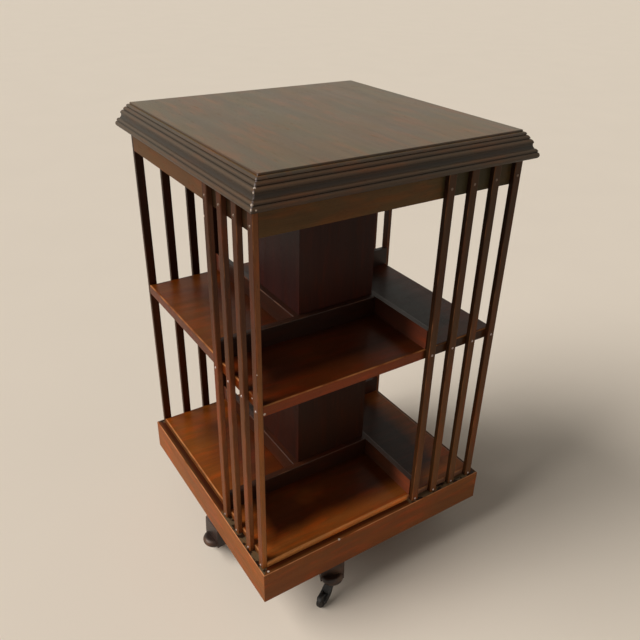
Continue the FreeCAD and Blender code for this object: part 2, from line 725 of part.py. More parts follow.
def nodes():
    """Every node of the bookcase, by name."""
    parts = {
        "bearer_lower": bearer("lower"),
        "bearer_upper": bearer("upper"),
        "centre_post": centre_post(),
        "post_wedge": post_wedge(),
        "pivot_pin": pivot_pin(),
        "castor_sockets": compound(castor_socket(angle) for angle in CASTOR_ANGLES),
        "castor_screws": compound(socket_screws(angle) for angle in CASTOR_ANGLES),
        "top_board": top_board(),
        "mid_shelf": shelf(MID_SHELF_BOTTOM, POST_HOLE_RADIUS, BRAD_SHELF_LEVEL),
        "bottom_shelf": shelf(BOTTOM_SHELF_BOTTOM, BUSH_OUTER_RADIUS, BRAD_FOOT_LEVEL),
        "slat_brads": brads(BRAD_LEVELS),
        "glue_blocks": glue_blocks(),
        "guide_board": guide_board(),
        "guide_bush": guide_bush(),
        "pivot_block": pivot_block(),
        "pivot_cup": pivot_cup(),
    }
    for side in SIDES:
        parts["cornice_" + side] = cornice(side)
        parts["frieze_" + side] = frieze(side)
        parts["plinth_" + side] = plinth(side)
        parts["slats_" + side] = slats(side)
        parts["lower_box_panel_" + side] = box_panel(side, BOTTOM_SHELF_TOP, MID_SHELF_BOTTOM)
        parts["upper_box_panel_" + side] = box_panel(side, MID_SHELF_TOP, TOP_BOARD_BOTTOM)
        parts["lower_rail_" + side] = book_rail(side, BOTTOM_SHELF_TOP)
        parts["upper_rail_" + side] = book_rail(side, MID_SHELF_TOP)
    for name, angle, trail in zip(CASTOR_NAMES, CASTOR_ANGLES, CASTOR_TRAIL_ANGLES):
        parts["castor_horn_" + name] = at_castor(castor_horn(), angle, trail)
        parts["castor_wheel_" + name] = at_castor(castor_wheel(), angle, trail)
        parts["castor_axle_" + name] = at_castor(castor_axle(), angle, trail)
    return parts


def main():
    os.makedirs("parts", exist_ok=True)
    for name, shape in nodes().items():
        shape.exportStep(os.path.join("parts", name + ".step"))
        print(name, len(shape.Solids), round(shape.Volume), shape.isValid())


main()
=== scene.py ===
"""Dresses the revolving bookcase: polished and rubbed mahogany, black iron castors, soft studio light.

Metres. The case's front is its -Y side, and the camera looks at its front left corner from above.
"""

import json
import math

import bpy
from mathutils import Matrix, Vector

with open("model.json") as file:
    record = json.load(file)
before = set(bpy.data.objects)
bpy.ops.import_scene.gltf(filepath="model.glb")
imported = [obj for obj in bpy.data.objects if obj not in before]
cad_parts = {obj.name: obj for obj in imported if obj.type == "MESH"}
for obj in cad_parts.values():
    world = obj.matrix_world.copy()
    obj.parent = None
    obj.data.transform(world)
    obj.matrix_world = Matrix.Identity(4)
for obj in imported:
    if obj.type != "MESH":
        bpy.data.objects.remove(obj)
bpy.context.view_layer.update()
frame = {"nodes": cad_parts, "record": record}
NODES = frame["nodes"]

# ---- camera and light --------------------------------------------------------------------------

CAMERA_PLACE = Vector((-0.5892, -0.9182, 1.0752))
CAMERA_AZIMUTH = math.radians(-33.417)
CAMERA_ELEVATION = math.radians(29.373)
CAMERA_ROLL = math.radians(-1.340)
CAMERA_LENS = 38.04                      # mm
SENSOR_WIDTH = 36.0                      # mm
CAMERA_REACH = 200.0

KEY_FROM = Vector((-0.80, 0.24, 0.68))   # a wide window, left of and a little behind the case
KEY_STRENGTH = 3.1
KEY_ANGLE = math.radians(44)
KEY_COLOUR = (1.0, 0.97, 0.93)
FILL_FROM = Vector((0.10, -0.80, 0.90))
FILL_STRENGTH = 0.16
FILL_ANGLE = math.radians(80)
FILL_COLOUR = (1.0, 0.95, 0.88)
AMBIENT = (1.0, 0.95, 0.88)
AMBIENT_STRENGTH = 0.085
BACKDROP = (0.62, 0.62, 0.56)
FLOOR_COLOUR = (0.92, 0.82, 0.70)
FLOOR_CLOUDS = 0.96                      # how dark the clouds on the floor are
FLOOR_HALF = 30.0


def srgb(red, green, blue):
    """A colour from its 0 to 255 screen values, as linear light."""
    def linear(value):
        value /= 255
        return value / 12.92 if value <= 0.04045 else ((value + 0.055) / 1.055) ** 2.4
    return linear(red), linear(green), linear(blue)


# ---- node graphs -------------------------------------------------------------------------------

class Graph:
    """A material under construction. Its methods add nodes and return their output sockets."""

    def __init__(self, name):
        self.material = bpy.data.materials.new(name)
        self.material.use_nodes = True
        self.tree = self.material.node_tree
        self.shader = self.tree.nodes["Principled BSDF"]
        self.coordinates = self.tree.nodes.new("ShaderNodeTexCoord")

    def add(self, kind, values, output=0, **settings):
        """A node of a kind, with its inputs linked or set by name or number."""
        node = self.tree.nodes.new(kind)
        for key, value in settings.items():
            setattr(node, key, value)
        for key, value in values.items():
            self.put(node.inputs[key], value)
        return node.outputs[output]

    def put(self, socket, value):
        """Links an output to an input, or sets the input's own value."""
        if isinstance(value, bpy.types.NodeSocket):
            self.tree.links.new(value, socket)
        elif isinstance(value, tuple) and len(value) == 3 and len(socket.default_value) == 4:
            socket.default_value = (*value, 1.0)
        else:
            socket.default_value = value

    def math(self, operation, first, second=0.0, clamp=False):
        return self.add("ShaderNodeMath", {0: first, 1: second}, operation=operation, use_clamp=clamp)

    def step(self, value, low, high):
        """0 below low, 1 above high and a smooth rise between them."""
        values = {"Value": value, "From Min": low, "From Max": high}
        return self.add("ShaderNodeMapRange", values, interpolation_type="SMOOTHSTEP")

    def mix(self, share, first, second, blend="MIX"):
        """Two colours mixed."""
        node = self.tree.nodes.new("ShaderNodeMix")
        node.data_type, node.blend_type = "RGBA", blend
        self.put(node.inputs[0], share)
        self.put(node.inputs[6], first)
        self.put(node.inputs[7], second)
        return node.outputs[2]

    def noise(self, vector, scale=1.0, detail=2.0, roughness=0.5, distortion=0.0):
        values = {"Vector": vector, "Scale": scale, "Detail": detail, "Roughness": roughness,
                  "Distortion": distortion}
        return self.add("ShaderNodeTexNoise", values)

    def tint(self, colour, factor):
        """A colour times a factor for each of its parts."""
        return self.mix(1.0, colour, factor, "MULTIPLY")

    def vector(self, operation, first, second):
        return self.add("ShaderNodeVectorMath", {0: first, 1: second}, operation=operation)

    def split(self, vector):
        """The three parts of a vector."""
        node = self.tree.nodes.new("ShaderNodeSeparateXYZ")
        self.tree.links.new(vector, node.inputs[0])
        return node.outputs[0], node.outputs[1], node.outputs[2]

    def place(self):
        """The point being shaded, in the frame's own metres."""
        return self.coordinates.outputs["Object"]

    def normal(self):
        """The surface's direction, in the frame."""
        return self.coordinates.outputs["Normal"]

    def above(self, low, high):
        """0 on the object below the level low, 1 above the level high."""
        return self.step(self.split(self.place())[2], low, high)

    def bump(self, height, distance, under=None):
        """A surface direction bent by a relief of a depth in metres, on top of an earlier one."""
        values = {"Height": height, "Distance": distance, "Strength": 1.0}
        if under is not None:
            values["Normal"] = under
        return self.add("ShaderNodeBump", values)

    def finish(self, **sockets):
        """The material, with the shader's inputs set by name."""
        for name, value in sockets.items():
            self.put(self.shader.inputs[name.replace("_", " ")], value)
        return self.material


# ---- wood --------------------------------------------------------------------------------------

UPRIGHT = "upright"                      # grain along Z; any other grain is an angle in plan, in degrees
BOARD_SPREAD = 7.0                       # how far apart in the grain's pattern two boards lie

# patterns of the figure, as features a metre along the grain and across it
RIBBON = (2.2, 38.0)
FIBRES = (14.0, 620.0)
MOTTLE = (9.0, 14.0)
PORES = (150.0, 1500.0)
DRIFT = (5.0, 11.0)
FLECKS = (16.0, 75.0)
RIPPLE = (6.0, 30.0)
SCUFFS = (260.0, 45.0, 120.0)            # along X, Y and Z

# what each pattern adds to the tone, and the half width of the tones between dark and light
RIBBON_SHARE, FIBRE_SHARE, MOTTLE_SHARE = 0.62, 0.30, 0.34
TONE_REACH = 0.26
PORE_SHARE, PORE_DARKNESS = 0.35, 0.4

# what the mottle, the scuffs and the rubbing add to the roughness
MOTTLE_DULLS, SCUFFS_DULL, RUBBING_DULLS = 0.12, 0.10, 0.15

# the levels of a noise between which a rounded edge goes from polished to rubbed, and their fall with wear
RUB_LEVELS, RUB_FALL = (0.62, 0.95), 0.4

# tints: slow changes of the polish along a board, small flecks, and orange low down to grey-brown high up
DULL_DRIFT, WARM_DRIFT = (0.94, 1.01, 1.04), (1.09, 0.98, 0.90)
DULL_FLECK, WARM_FLECK = (0.97, 1.0, 1.02), (1.30, 1.02, 0.78)
# orange low down and grey-brown high up are painted light and shade: warm light off the floor below, shade
# higher up
WARM_TINT, COOL_TINT = (1.0, 0.92, 0.78), (0.50, 0.52, 0.60)
TINT_LEVELS = (0.25, 0.70)

PORE_DEPTH, RIPPLE_DEPTH = 0.00005, 0.0010
MITRE_COLOUR = srgb(150, 140, 142)
MITRE_EDGE = (0.0007, 0.0022)            # out from the line of the mitre
MITRE_STRENGTH = 0.75
CHIP_AND_GLINT_COLOUR = srgb(208, 192, 178)
SPOT_RAGGEDNESS, SPOT_SOFTNESS = 0.0016, 0.0012

# the case's shape, out from the post's axis, as the materials see it
SLAT_ZONE = (0.068, 0.076)               # along a side, where the open bay ends and the slats' end begins
NEAR_CORNER = (0.44, 0.45)               # x and y together, towards the front left corner
SQUARE_ON = (0.3, 0.7)                   # the share of a surface's direction that lies along an axis
ROUNDED = (0.01, 0.14)                   # how far a surface's direction is off all three axes


def grain_coordinates(g, grain):
    """The frame turned so that X runs along the grain, and shifted by a random step for each board."""
    turn = (0.0, math.radians(90), 0.0) if grain == UPRIGHT else (0.0, 0.0, -math.radians(grain))
    turned = g.add("ShaderNodeMapping", {"Vector": g.place(), "Rotation": turn})
    board = g.tree.nodes.new("ShaderNodeObjectInfo").outputs["Random"]
    shift = g.math("MULTIPLY", board, BOARD_SPREAD)
    return g.vector("ADD", turned, g.add("ShaderNodeCombineXYZ", {0: shift, 1: shift, 2: shift}))


def stretched(g, grained, pattern):
    """Grain coordinates in which one unit is one feature of a pattern."""
    along, across = pattern
    return g.vector("MULTIPLY", grained, (along, across, across))


def square_distance(g):
    """How far out from the post a point is, as the half size of the square through it."""
    x, y, _ = (g.math("ABSOLUTE", part) for part in g.split(g.place()))
    return g.math("MAXIMUM", x, y)


def slat_zone(g):
    """1 along each side where its slats stand, and 0 along its open bay."""
    x, y, _ = g.split(g.place())
    on_x_side = g.math("GREATER_THAN", g.math("ABSOLUTE", x), g.math("ABSOLUTE", y))
    along_x_side = g.math("MULTIPLY", g.math("SIGN", x), y)
    along_y_side = g.math("MULTIPLY", g.math("SIGN", y), g.math("MULTIPLY", x, -1.0))
    along = g.math("ADD", g.math("MULTIPLY", on_x_side, along_x_side),
                   g.math("MULTIPLY", g.math("SUBTRACT", 1.0, on_x_side), along_y_side))
    return g.step(along, *SLAT_ZONE)


def facing(g, axis):
    """1 on faces that look along an axis, 0 for X, 1 for Y and 2 for Z, either way."""
    return g.step(g.math("ABSOLUTE", g.split(g.normal())[axis]), *SQUARE_ON)


def edge_mask(g):
    """1 on rounded edges of a square board, where the surface looks along none of the three axes."""
    parts = [g.math("ABSOLUTE", part) for part in g.split(g.normal())]
    largest = g.math("MAXIMUM", g.math("MAXIMUM", parts[0], parts[1]), parts[2])
    return g.step(g.math("SUBTRACT", 1.0, largest), *ROUNDED)


def chip_and_glint_mask(g, spots):
    """1 inside small ragged pale spots, given as (centre, radius) in the frame: chipped spots and painted
    glints.
    """
    ragged = g.math("MULTIPLY", g.noise(g.place(), scale=900.0, detail=2.0), SPOT_RAGGEDNESS)
    share = None
    for centre, radius in spots:
        away = g.add("ShaderNodeVectorMath", {0: g.place(), 1: centre}, output="Value", operation="DISTANCE")
        outside = g.step(g.math("ADD", away, ragged), radius, radius + SPOT_SOFTNESS)
        spot = g.math("SUBTRACT", 1.0, outside)
        share = spot if share is None else g.math("MAXIMUM", share, spot)
    return share


def mitre_mask(g):
    """1 along the mitre of the front left corner, in patches."""
    x, y, _ = g.split(g.place())
    away = g.math("ABSOLUTE", g.math("SUBTRACT", g.math("ABSOLUTE", x), g.math("ABSOLUTE", y)))
    line = g.math("SUBTRACT", 1.0, g.step(away, *MITRE_EDGE))
    near = g.step(g.math("MULTIPLY", g.math("ADD", x, y), -1.0), *NEAR_CORNER)
    worn = g.step(g.noise(g.place(), scale=260.0, detail=2.0), 0.40, 0.62)
    return g.math("MULTIPLY", g.math("MULTIPLY", line, near), g.math("MULTIPLY", worn, MITRE_STRENGTH))


def ramp(g, value, stops):
    """A value read off a curve of (place, height) stops, with straight lines between them."""
    node = g.tree.nodes.new("ShaderNodeValToRGB")
    g.put(node.inputs[0], value)
    elements = node.color_ramp.elements
    while len(elements) < len(stops):
        elements.new(0.5)
    for element, (place, height) in zip(elements, stops):
        element.position = place
        element.color = (height, height, height, 1.0)
    return node.outputs["Color"]


def wood(name, grain, dark, light, worn, rough=0.42, coat=0.10, coat_rough=0.25, figure=1.0, wear=0.5,
         gloss=0.25, cool=COOL_TINT, shade=None, chips_and_glints=(), mitre=False):
    """Mahogany under French polish: ribbon figure, fibres, open pores, rubbed arrises, small chipped spots
    and painted glints.

    cool is the tint high on the case: painted shade up there, against painted warm light low down. shade is a
    function of the graph that returns a factor on the colour, mostly painted light and shade.
    mitre asks for pale patches along the mitre of the front left corner.
    """
    g = Graph(name)
    grained = grain_coordinates(g, grain)
    ribbon = g.noise(stretched(g, grained, RIBBON), detail=3.0, roughness=0.5, distortion=0.3)
    fibre = g.noise(stretched(g, grained, FIBRES), detail=3.0, roughness=0.6)
    mottle = g.noise(stretched(g, grained, MOTTLE), detail=2.0)
    pores = g.step(g.noise(stretched(g, grained, PORES), detail=1.0), 0.60, 0.68)
    scuffs = g.noise(g.vector("MULTIPLY", g.place(), SCUFFS), detail=2.0, distortion=0.6)

    tone = g.math("MULTIPLY", ribbon, RIBBON_SHARE * figure)
    tone = g.math("ADD", tone, g.math("MULTIPLY", fibre, FIBRE_SHARE))
    tone = g.math("ADD", tone, g.math("MULTIPLY", mottle, MOTTLE_SHARE * figure))
    middle = 0.5 * (RIBBON_SHARE * figure + FIBRE_SHARE + MOTTLE_SHARE * figure)
    colour = g.mix(g.step(tone, middle - TONE_REACH, middle + TONE_REACH), dark, light)
    pore_colour = tuple(PORE_DARKNESS * part for part in dark)
    colour = g.mix(g.math("MULTIPLY", pores, PORE_SHARE), colour, pore_colour)
    drift = g.step(g.noise(stretched(g, grained, DRIFT), detail=2.0), 0.36, 0.64)
    colour = g.tint(colour, g.mix(drift, DULL_DRIFT, WARM_DRIFT))
    fleck = g.step(g.noise(stretched(g, grained, FLECKS), detail=2.0), 0.48, 0.70)
    colour = g.tint(colour, g.mix(fleck, DULL_FLECK, WARM_FLECK))
    colour = g.tint(colour, g.mix(g.above(*TINT_LEVELS), WARM_TINT, cool))
    if shade is not None:
        colour = g.tint(colour, shade(g))

    wandering = g.noise(g.place(), scale=28.0, detail=3.0, roughness=0.5)
    rubbed = g.step(wandering, *(level - RUB_FALL * wear for level in RUB_LEVELS))
    bare = g.math("MULTIPLY", edge_mask(g), g.math("MULTIPLY", rubbed, wear))
    colour = g.mix(bare, colour, worn)
    if mitre:
        colour = g.mix(mitre_mask(g), colour, MITRE_COLOUR)
    if chips_and_glints:
        colour = g.mix(chip_and_glint_mask(g, chips_and_glints), colour, CHIP_AND_GLINT_COLOUR)

    roughness = g.math("ADD", rough - MOTTLE_DULLS / 2, g.math("MULTIPLY", mottle, MOTTLE_DULLS))
    roughness = g.math("ADD", roughness, g.math("MULTIPLY", g.step(scuffs, 0.6, 0.75), SCUFFS_DULL))
    roughness = g.math("ADD", roughness, g.math("MULTIPLY", bare, RUBBING_DULLS), clamp=True)

    normal = g.bump(g.math("SUBTRACT", g.math("MULTIPLY", fibre, 0.5), pores), PORE_DEPTH)
    normal = g.bump(g.noise(stretched(g, grained, RIPPLE), detail=1.0), RIPPLE_DEPTH, normal)
    return g.finish(Base_Color=colour, Roughness=roughness, Normal=normal, Coat_Weight=coat,
                    Coat_Roughness=coat_rough, Specular_IOR_Level=gloss)


# ---- shades of the parts -----------------------------------------------------------------------

# Each shade is a factor on the colour, for red, green and blue. Most of them are painted light and shade.

# heights that tell one part of a material from another
PLINTH_AND_FRIEZE = (0.2, 0.7)
BOTTOM_AND_MID_SHELF = (0.2, 0.4)
MID_AND_FRIEZE_BRADS = (0.6, 0.7)
LOWER_AND_UPPER_BOX = (0.46, 0.48)

# distances out from the post's axis
SHELF_BODY_AND_EDGE = (0.2230, 0.2255)
SLAT_BACK_AND_SIDE = (0.2261, 0.2268)
SLAT_SIDE_AND_FACE = (0.2334, 0.2342)
CORNER_SLAT = (0.2250, 0.2258)
LEDGE_GROOVE_AND_TOP = (0.2315, 0.2365)
# where painted shade inside the bays turns to painted light, and to rubbed, lit open edges
PAINTED_SHADE_TO_LIGHT = (0.130, 0.215)
SHELF_SHADE_TO_RUBBED_AND_LIT = (0.165, 0.214)
RAIL_SHADE_TO_PAINTED_LIGHT = (0.165, 0.215)

# the left bay's bounds: from its back outwards along -X, and from its open end backwards along Y
LEFT_BAY_BACK = (0.075, 0.095)
LEFT_BAY_END = (-0.095, -0.075)
WANDER = 0.4                             # how far the painted light and shade and the rubbing stray from their bounds
UNCHANGED = (1.0, 1.0, 1.0)

TOP_LEVEL = 0.833
MOULDING_DEPTH = 0.044
# brightness down the moulding: painted shade in the quirks and the cove, painted light on the rubbed ridges,
# as
# (depth below the top in millimetres, factor)
MOULDING_TONES = ((0.0, 1.25), (1.2, 1.0), (2.4, 0.55), (4.2, 1.25), (6.8, 0.4), (9.2, 1.6), (12.6, 0.35),
                  (14.8, 1.7), (18.4, 0.60), (22.5, 0.38), (26.4, 0.55), (28.4, 1.6), (31.7, 0.35),
                  (34.4, 1.5), (38.0, 0.75), (43.9, 0.6))
BRIGHTEST_TONE = 2.0                     # a ramp holds values up to 1, so it holds the tones over this one


def moulding_shade(g):
    """The tones of the moulding's members, read off by depth: painted shade in the hollows, painted light on
    the ridges.
    """
    depth = g.math("SUBTRACT", TOP_LEVEL, g.split(g.place())[2])
    share = g.math("DIVIDE", depth, MOULDING_DEPTH, clamp=True)
    stops = [(depth_mm / 1000 / MOULDING_DEPTH, factor / BRIGHTEST_TONE)
             for depth_mm, factor in MOULDING_TONES]
    return g.tint(ramp(g, share, stops), (BRIGHTEST_TONE, BRIGHTEST_TONE, BRIGHTEST_TONE))


def top_shade(g):
    """The top board's moulded edge, painted darker and greyer than its flat top, as dark and brown as the
    moulding under it: painted shade.
    """
    flat = g.step(g.split(g.normal())[2], 0.9, 0.99)
    return g.mix(flat, (0.55, 0.58, 1.05), UNCHANGED)


def shelf_shade(g):
    """Painted light towards the open edges and all over the left bay, painted shade deep in the other bays,
    and rubbed open edges.
    """
    x, y, _ = g.split(g.place())
    out = square_distance(g)
    clouds = g.noise(g.place(), scale=14.0, detail=2.0)
    wander = g.math("MULTIPLY", g.math("SUBTRACT", clouds, 0.5), WANDER)
    # painted light, growing out towards each bay's open edge
    painted_light_outwards = g.math("ADD", g.step(out, *PAINTED_SHADE_TO_LIGHT), wander, clamp=True)
    left_bay_painted_light = g.mix(painted_light_outwards, (0.32, 0.24, 0.16), (1.10, 1.10, 0.76))
    # the other bays' open edges: rubbed, with painted light along them
    rubbed = g.math("ADD", g.step(out, *SHELF_SHADE_TO_RUBBED_AND_LIT), wander, clamp=True)
    upper = g.above(*BOTTOM_AND_MID_SHELF)
    open_edge = g.mix(upper, (1.18, 1.25, 1.3), (0.62, 0.5, 0.6))
    # painted shade deep in the other bays
    dark = g.mix(rubbed, (0.13, 0.11, 0.10), open_edge)
    left = g.step(g.math("MULTIPLY", x, -1.0), *LEFT_BAY_BACK)
    left_bay = g.math("MULTIPLY", left, g.step(y, *LEFT_BAY_END))
    body = g.mix(left_bay, dark, left_bay_painted_light)
    # the edge faces: painted lighter or darker by the way they face and by shelf, with painted shade between
    # the slats
    zone, on_x_side = slat_zone(g), facing(g, 0)
    low = g.mix(zone, (3.9, 5.5, 9.0), (1.25, 2.1, 7.0))
    low = g.mix(on_x_side, low, (0.60, 0.76, 1.05))
    high = g.mix(zone, (1.34, 0.92, 0.44), (0.29, 0.37, 0.37))
    high = g.mix(on_x_side, high, (0.64, 0.475, 0.10))
    edge = g.mix(upper, low, high)
    return g.mix(g.step(out, *SHELF_BODY_AND_EDGE), body, edge)


def slat_shade(g):
    """Painted light and shade on the slats: outer faces and sides lighter or darker by the way they face and
    by height, the corner slat's front side lit, and painted shade on their backs.
    """
    x, y, _ = (g.math("ABSOLUTE", part) for part in g.split(g.place()))
    out = g.math("MAXIMUM", x, y)
    corner = g.step(g.math("MINIMUM", x, y), *CORNER_SLAT)
    on_x_side, on_y_side = facing(g, 0), facing(g, 1)
    side = g.mix(on_y_side, (0.42, 0.60, 0.95), (1.45, 1.80, 2.9))
    side = g.mix(g.math("MULTIPLY", corner, on_y_side), side, (2.55, 3.15, 3.7))
    height = g.above(*TINT_LEVELS)
    front = g.mix(height, (0.86, 1.10, 1.25), (0.98, 1.35, 1.75))
    face = g.mix(on_x_side, front, g.mix(height, (1.0, 0.96, 0.74), (0.84, 0.74, 0.55)))
    outer = g.mix(g.step(out, *SLAT_SIDE_AND_FACE), side, face)
    return g.mix(g.step(out, *SLAT_BACK_AND_SIDE), (0.42, 0.42, 0.45), outer)


def frame_shade(g):
    """The plinth and the frieze, painted lighter or darker by the way they face, with painted shade between
    the slats; on the ledge grime and painted shade, darkest in its groove, and blotches of painted grey sheen
    among the slats.
    """
    zone, on_x_side = slat_zone(g), facing(g, 0)
    level = g.step(g.split(g.normal())[2], 0.8, 0.98)
    # the ledge: grime and painted shade, darkest in its groove; among the slats near-black blotches and grey
    # ones of painted sheen
    inner = g.math("SUBTRACT", 1.0, g.step(square_distance(g), *LEDGE_GROOVE_AND_TOP))
    ledge_grime_and_shade = g.mix(inner, (0.47, 0.62, 1.0), (0.22, 0.19, 0.24))
    blobs = g.step(g.noise(g.place(), scale=75.0, detail=2.0), 0.46, 0.54)
    ledge_grime_and_shade = g.mix(zone, ledge_grime_and_shade, g.mix(blobs, (0.58, 1.45, 5.0), (0.09, 0.16, 0.50)))
    # painted light: the plinth's faces lighter or darker by the way they face
    plinth = g.mix(on_x_side, (0.83, 0.93, 0.85), (1.0, 1.06, 0.78))
    # painted shade on the frieze, by the way it faces and deepest between the slats
    frieze = g.mix(on_x_side, (0.78, 1.12, 1.80), (0.86, 0.88, 0.82))
    frieze = g.mix(zone, frieze, g.mix(on_x_side, (0.43, 0.80, 1.60), (0.20, 0.24, 0.38)))
    return g.mix(level, g.mix(g.above(*PLINTH_AND_FRIEZE), plinth, frieze), ledge_grime_and_shade)


def rail_painted_light(g):
    """The outer ends of the rails that part two bays, on faces that look along X: painted light, where light
    from the left falls through the slats.
    """
    end = g.step(square_distance(g), *RAIL_SHADE_TO_PAINTED_LIGHT)
    return g.mix(g.math("MULTIPLY", end, facing(g, 0)), UNCHANGED, (5.5, 5.0, 6.0))


def box_shade(g):
    """Painted shade on the box: darker on its left and right faces, where the bays are deeper in shade, and
    on its lower level.
    """
    upper = g.mix(facing(g, 0), (1.0, 1.0, 1.2), (0.62, 0.48, 0.75))
    lower = g.mix(facing(g, 0), (0.50, 0.58, 0.55), (0.36, 0.30, 0.32))
    return g.mix(g.above(*LOWER_AND_UPPER_BOX), lower, upper)


# ---- metal -------------------------------------------------------------------------------------

RUST_COLOUR = srgb(92, 62, 44)
DUST_DULLS = 0.24
DUSTY_METALLIC = 0.35
GRIT_DEPTH = 0.00008
BRASS_COLOUR, TARNISH_COLOUR = srgb(196, 160, 92), srgb(120, 92, 52)
TURNING_MARKS = (20.0, 20.0, 2400.0)     # features a metre along X, Y and Z
MARK_DEPTH = 0.00004


def iron(name, dark, light, rough=0.5, high=None):
    """Iron, with clouds of dust, lighter and duller, and spots of rust.

    high is its colour up at the frieze, if it has another there: painted shade.
    """
    g = Graph(name)
    cloud = g.noise(g.place(), scale=160.0, detail=4.0, roughness=0.6)
    grit = g.noise(g.place(), scale=1800.0, detail=2.0)
    colour = g.mix(g.step(cloud, 0.4, 0.7), dark, light)
    rust = g.step(g.noise(g.place(), scale=420.0, detail=3.0), 0.62, 0.72)
    colour = g.mix(rust, colour, RUST_COLOUR)
    if high is not None:
        colour = g.mix(g.above(*MID_AND_FRIEZE_BRADS), colour, high)
    roughness = g.math("ADD", rough - DUST_DULLS / 2, g.math("MULTIPLY", cloud, DUST_DULLS), clamp=True)
    return g.finish(Base_Color=colour, Roughness=roughness, Metallic=DUSTY_METALLIC,
                    Normal=g.bump(grit, GRIT_DEPTH))


def brass(name):
    """Turned brass, dulled, with fine turning marks round the axis."""
    g = Graph(name)
    marks = g.noise(g.vector("MULTIPLY", g.place(), TURNING_MARKS), detail=2.0)
    tarnish = g.noise(g.place(), scale=70.0, detail=4.0)
    colour = g.mix(g.step(tarnish, 0.35, 0.7), BRASS_COLOUR, TARNISH_COLOUR)
    roughness = g.math("ADD", 0.25, g.math("MULTIPLY", tarnish, 0.25))
    return g.finish(Base_Color=colour, Roughness=roughness, Metallic=1.0, Normal=g.bump(marks, MARK_DEPTH))


# ---- finishes of the slots ---------------------------------------------------------------------

# pale spots, as (centre, radius) in the frame
# pale spots along the near mitre's ridges
MITRE_PALE_SPOTS = (((-0.2300, -0.2300, 0.8270), 0.0010), ((-0.2342, -0.2342, 0.8195), 0.0018),
                  ((-0.2386, -0.2386, 0.8150), 0.0020), ((-0.2430, -0.2430, 0.8025), 0.0018),
                  ((-0.2464, -0.2464, 0.7985), 0.0019), ((-0.2395, -0.2464, 0.7966), 0.0013))
# chipped spots and painted glints along the mid shelf's left edge, and a pale scuff at its front corner
SHELF_CHIPS_AND_GLINTS = (((-0.2260, -0.1520, 0.4890), 0.0018), ((-0.2260, -0.1600, 0.4845), 0.0022),
               ((-0.2260, -0.1665, 0.4815), 0.0012), ((-0.2260, -0.1920, 0.4870), 0.0013),
               ((-0.2260, -0.2070, 0.4845), 0.0012), ((-0.2240, -0.2260, 0.4790), 0.0020))
SLAT_CHIPS = (((-0.2345, -0.0785, 0.7340), 0.0020), ((-0.2345, -0.0780, 0.7270), 0.0010),
              ((-0.2345, -0.2120, 0.7300), 0.0010), ((-0.2345, -0.2258, 0.5500), 0.0012))
# a chip on the plinth's front arris, and a painted glint on the ledge at the near corner
PLINTH_CHIP_AND_GLINT = (((-0.0900, -0.2390, 0.1626), 0.0022), ((-0.2287, -0.2344, 0.1630), 0.0020))

# the arguments of wood() for each slot
FINISHES = {
    "top_mahogany": dict(dark=srgb(103, 73, 37), light=srgb(136, 99, 53), worn=srgb(150, 118, 84), rough=0.40,
                         coat=0.14, coat_rough=0.26, figure=0.9, wear=0.0, gloss=0.3, cool=(0.56, 0.60, 0.60),
                         shade=top_shade, mitre=True),
    "moulding_mahogany": dict(dark=srgb(78, 56, 40), light=srgb(96, 71, 52), worn=srgb(130, 100, 78),
                              rough=0.44, coat=0.12, coat_rough=0.18, figure=0.6, wear=0.0, gloss=0.2,
                              cool=(0.55, 0.58, 0.54), shade=moulding_shade, chips_and_glints=MITRE_PALE_SPOTS,
                              mitre=True),
    "frame_mahogany": dict(dark=srgb(118, 61, 22), light=srgb(148, 81, 32), worn=srgb(196, 130, 86),
                           rough=0.46, coat=0.03, wear=0.9, gloss=0.10, cool=(0.43, 0.60, 0.76),
                           shade=frame_shade, chips_and_glints=PLINTH_CHIP_AND_GLINT),
    "shelf_mahogany": dict(dark=srgb(112, 58, 22), light=srgb(144, 80, 34), worn=srgb(178, 116, 66),
                           rough=0.36, coat=0.07, coat_rough=0.2, wear=0.8, gloss=0.11,
                           cool=(0.34, 0.28, 0.16), shade=shelf_shade, chips_and_glints=SHELF_CHIPS_AND_GLINTS),
    "slat_mahogany": dict(dark=srgb(88, 47, 20), light=srgb(122, 68, 31), worn=srgb(160, 108, 70), rough=0.46,
                          coat=0.03, figure=0.9, wear=0.5, gloss=0.10, cool=(0.40, 0.42, 0.54),
                          shade=slat_shade, chips_and_glints=SLAT_CHIPS),
    "box_mahogany": dict(dark=srgb(59, 29, 18), light=srgb(79, 41, 27), worn=srgb(116, 72, 44), rough=0.46,
                         coat=0.04, wear=0.3, gloss=0.13, shade=box_shade),
    "rail_mahogany": dict(dark=srgb(42, 21, 11), light=srgb(61, 31, 17), worn=srgb(120, 74, 46), rough=0.42,
                          wear=0.5, gloss=0.2, shade=rail_painted_light),
    "stand_mahogany": dict(dark=srgb(32, 20, 17), light=srgb(52, 33, 27), worn=srgb(128, 92, 66), rough=0.40,
                           coat=0.14, coat_rough=0.2, wear=0.5),
    "turned_beech": dict(dark=srgb(140, 106, 72), light=srgb(182, 146, 102), worn=srgb(190, 156, 116),
                         rough=0.5, coat=0.0, figure=0.6, wear=0.0),
    "inner_pine": dict(dark=srgb(160, 124, 82), light=srgb(198, 164, 116), worn=srgb(200, 170, 124),
                       rough=0.7, coat=0.0, figure=0.9, wear=0.0),
}
METALS = {
    "black_iron": lambda: iron("black_iron", srgb(18, 15, 14), srgb(34, 29, 26)),
    # the brads: pale rubbed heads with some painted glint, darker up at the frieze as painted shade
    "iron_brads": lambda: iron("iron_brads", srgb(150, 132, 128), srgb(188, 170, 164), rough=0.34,
                               high=srgb(104, 84, 70)),
    "brass_bush": lambda: brass("brass_bush"),
}
LOWER_BEARER_GRAIN, UPPER_BEARER_GRAIN = 5.2, 68.1
ALONG_X, ALONG_Y = 0.0, 90.0
made = {}


